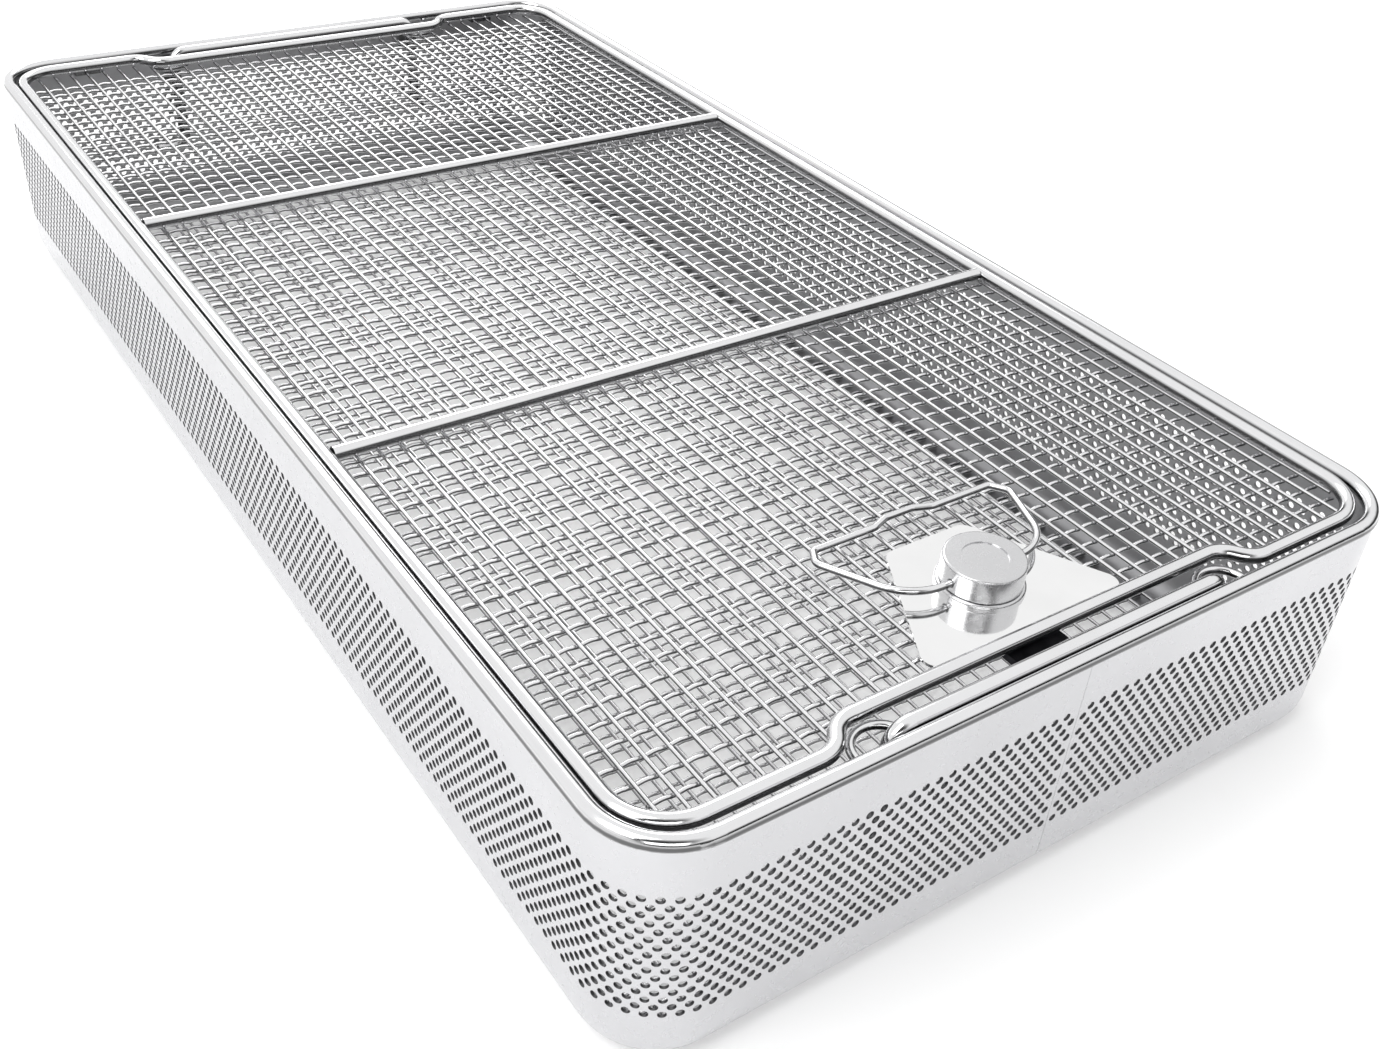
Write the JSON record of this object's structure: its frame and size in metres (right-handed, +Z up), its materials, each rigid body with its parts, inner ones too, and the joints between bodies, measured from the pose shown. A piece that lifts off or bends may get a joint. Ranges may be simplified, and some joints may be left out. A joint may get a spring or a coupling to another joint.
{
  "type": "instrument tray",
  "caption": "Perforated stainless instrument tray with a wire-mesh floor, a framed mesh lid with a knob latch, and a drop handle at each end.",
  "frame": {"origin": "middle of the underside, on the surface the tray stands on", "axes": "+X to the right across the short side, +Y along the long side away from the latch, +Z up"},
  "size_m": [0.25, 0.488, 0.0791],
  "materials": {
    "polished_sheet": "bright polished stainless sheet",
    "bright_wire": "bright drawn stainless wire",
    "mesh_wire": "crimped stainless wire mesh",
    "mirror_plate": "mirror polished stainless",
    "dark_bolt": "dark, satin"
  },
  "bodies": {
    "basket": {"wall_band": "polished_sheet", "rim_bead": "bright_wire", "floor_mesh": "mesh_wire", "front_left_eye": "bright_wire", "front_right_eye": "bright_wire", "rear_left_eye": "bright_wire", "rear_right_eye": "bright_wire", "left_side_rest": "bright_wire", "right_side_rest": "bright_wire"},
    "front_handle": {"front_handle": "bright_wire"},
    "rear_handle": {"rear_handle": "bright_wire"},
    "lid": {"lid_frame": "bright_wire", "lid_mesh": "mesh_wire", "front_cross_bar": "bright_wire", "rear_cross_bar": "bright_wire", "left_rear_hook": "bright_wire", "right_rear_hook": "bright_wire", "latch_plate": "mirror_plate", "knob_ring": "mirror_plate", "bolt_guide": "mirror_plate"},
    "latch_knob": {"knob": "mirror_plate", "spindle": "mirror_plate", "crank_disc": "mirror_plate"},
    "latch_bolt": {"bolt": "dark_bolt"},
    "bail": {"bail": "bright_wire"}
  },
  "joints": [
    {"name": "front_handle_lift", "type": "slide", "parent": "basket", "child": "front_handle", "axis": [0, 0, 1], "range_m": [0, 0.032]},
    {"name": "rear_handle_lift", "type": "slide", "parent": "basket", "child": "rear_handle", "axis": [0, 0, 1], "range_m": [0, 0.032]},
    {"name": "lid_tilt", "type": "hinge", "parent": "basket", "child": "lid", "pos_m": [0, 0.2355, 0.0722], "axis": [-1, 0, 0], "range_deg": [0, 60]},
    {"name": "knob_turn", "type": "hinge", "parent": "lid", "child": "latch_knob", "pos_m": [0, -0.206, 0.0722], "axis": [0, 0, -1], "range_deg": [0, 60]},
    {"name": "bolt_throw", "type": "slide", "parent": "lid", "child": "latch_bolt", "axis": [0, -1, 0], "range_m": [0, 0.007]},
    {"name": "bail_fold", "type": "hinge", "parent": "latch_knob", "child": "bail", "pos_m": [0, -0.206, 0.0748], "axis": [1, 0, 0], "range_deg": [0, 85]}
  ],
  "couplings": [
    {"joint": "bolt_throw", "follows": "knob_turn", "m_per_rad": 0.00668}
  ]
}
